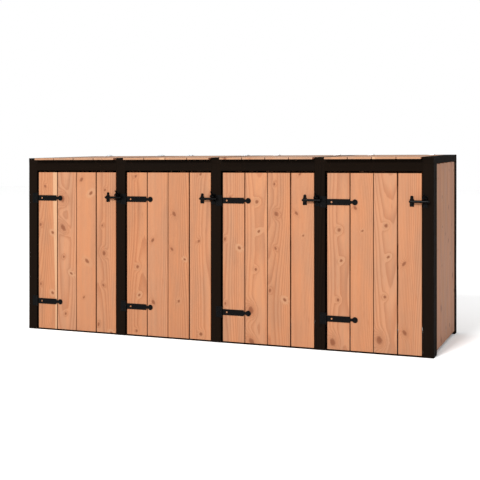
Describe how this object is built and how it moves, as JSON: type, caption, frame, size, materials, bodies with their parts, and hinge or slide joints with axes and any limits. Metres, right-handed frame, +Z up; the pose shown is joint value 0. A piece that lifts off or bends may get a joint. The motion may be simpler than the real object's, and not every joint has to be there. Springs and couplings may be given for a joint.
{
  "type": "recycling bin station",
  "caption": "Timber bin station with a dark post frame, plank doors on strap hinges with gravity latches, lift-up plank lids and boarded walls.",
  "frame": {"origin": "middle of the bounding box's base, on the ground", "axes": "+X to the right along the row of doors, +Y from the doors to the back, +Z up"},
  "size_m": [2.836, 0.9764, 1.2323],
  "materials": {
    "frame_timber": "near-black opaque stain, satin",
    "door_boards": "planed softwood, oiled, with knots",
    "lid_boards": "planed softwood, oiled, with knots",
    "wall_boards": "planed softwood, oiled, with knots",
    "inner_timber": "sawn softwood",
    "black_steel": "black powder coat, satin",
    "zinc_steel": "bright zinc plate, slightly dulled"
  },
  "bodies": {
    "frame": {"front_posts": "frame_timber", "rear_posts": "frame_timber", "side_stiles": "frame_timber", "top_bars": "frame_timber", "front_rails": "frame_timber", "front_sills": "frame_timber", "rear_rails": "frame_timber", "left_boards": "wall_boards", "right_boards": "wall_boards", "back_boards": "wall_boards", "wall_battens": "inner_timber", "post_leaves": "black_steel", "post_pins": "black_steel", "post_leaf_screws": "black_steel", "latch_bodies": "black_steel", "latch_pins": "black_steel", "latch_screws": "black_steel", "rail_leaves": "zinc_steel", "lid_pins": "zinc_steel", "rail_leaf_screws": "zinc_steel"},
    "door_1": {"door_1_boards": "door_boards", "door_1_ledges": "inner_timber", "door_1_straps": "black_steel", "door_1_striker": "black_steel", "door_1_screws": "black_steel"},
    "door_2": {"door_2_boards": "door_boards", "door_2_ledges": "inner_timber", "door_2_straps": "black_steel", "door_2_striker": "black_steel", "door_2_screws": "black_steel"},
    "door_3": {"door_3_boards": "door_boards", "door_3_ledges": "inner_timber", "door_3_straps": "black_steel", "door_3_striker": "black_steel", "door_3_screws": "black_steel"},
    "door_4": {"door_4_boards": "door_boards", "door_4_ledges": "inner_timber", "door_4_straps": "black_steel", "door_4_striker": "black_steel", "door_4_screws": "black_steel"},
    "lid_1": {"lid_1_boards": "lid_boards", "lid_1_battens": "inner_timber", "lid_1_leaves": "zinc_steel", "lid_1_screws": "zinc_steel"},
    "lid_2": {"lid_2_boards": "lid_boards", "lid_2_battens": "inner_timber", "lid_2_leaves": "zinc_steel", "lid_2_screws": "zinc_steel"},
    "lid_3": {"lid_3_boards": "lid_boards", "lid_3_battens": "inner_timber", "lid_3_leaves": "zinc_steel", "lid_3_screws": "zinc_steel"},
    "lid_4": {"lid_4_boards": "lid_boards", "lid_4_battens": "inner_timber", "lid_4_leaves": "zinc_steel", "lid_4_screws": "zinc_steel"},
    "catch_1_body": {"catch_1": "black_steel"},
    "catch_2_body": {"catch_2": "black_steel"},
    "catch_3_body": {"catch_3": "black_steel"},
    "catch_4_body": {"catch_4": "black_steel"}
  },
  "joints": [
    {"name": "door_1_hinge", "type": "hinge", "parent": "frame", "child": "door_1", "pos_m": [-1.3445, -0.44733, 0.561], "axis": [0, 0, -1], "range_deg": [0, 120]},
    {"name": "door_2_hinge", "type": "hinge", "parent": "frame", "child": "door_2", "pos_m": [-0.6445, -0.44733, 0.561], "axis": [0, 0, -1], "range_deg": [0, 120]},
    {"name": "door_3_hinge", "type": "hinge", "parent": "frame", "child": "door_3", "pos_m": [0.0555, -0.44733, 0.561], "axis": [0, 0, -1], "range_deg": [0, 120]},
    {"name": "door_4_hinge", "type": "hinge", "parent": "frame", "child": "door_4", "pos_m": [0.7555, -0.44733, 0.561], "axis": [0, 0, -1], "range_deg": [0, 120]},
    {"name": "lid_1_hinge", "type": "hinge", "parent": "frame", "child": "lid_1", "pos_m": [-1.035, 0.42393, 1.22734], "axis": [-1, 0, 0], "range_deg": [0, 100]},
    {"name": "lid_2_hinge", "type": "hinge", "parent": "frame", "child": "lid_2", "pos_m": [-0.335, 0.42393, 1.22734], "axis": [-1, 0, 0], "range_deg": [0, 100]},
    {"name": "lid_3_hinge", "type": "hinge", "parent": "frame", "child": "lid_3", "pos_m": [0.365, 0.42393, 1.22734], "axis": [-1, 0, 0], "range_deg": [0, 100]},
    {"name": "lid_4_hinge", "type": "hinge", "parent": "frame", "child": "lid_4", "pos_m": [1.05, 0.42393, 1.22734], "axis": [-1, 0, 0], "range_deg": [0, 100]},
    {"name": "catch_1_pivot", "type": "hinge", "parent": "frame", "child": "catch_1_body", "pos_m": [-0.7025, -0.45383, 0.949], "axis": [-1, 0, 0], "range_deg": [-40, 0]},
    {"name": "catch_2_pivot", "type": "hinge", "parent": "frame", "child": "catch_2_body", "pos_m": [-0.0025, -0.45383, 0.949], "axis": [-1, 0, 0], "range_deg": [-40, 0]},
    {"name": "catch_3_pivot", "type": "hinge", "parent": "frame", "child": "catch_3_body", "pos_m": [0.6975, -0.45383, 0.949], "axis": [-1, 0, 0], "range_deg": [-40, 0]},
    {"name": "catch_4_pivot", "type": "hinge", "parent": "frame", "child": "catch_4_body", "pos_m": [1.3675, -0.45383, 0.949], "axis": [-1, 0, 0], "range_deg": [-40, 0]}
  ]
}
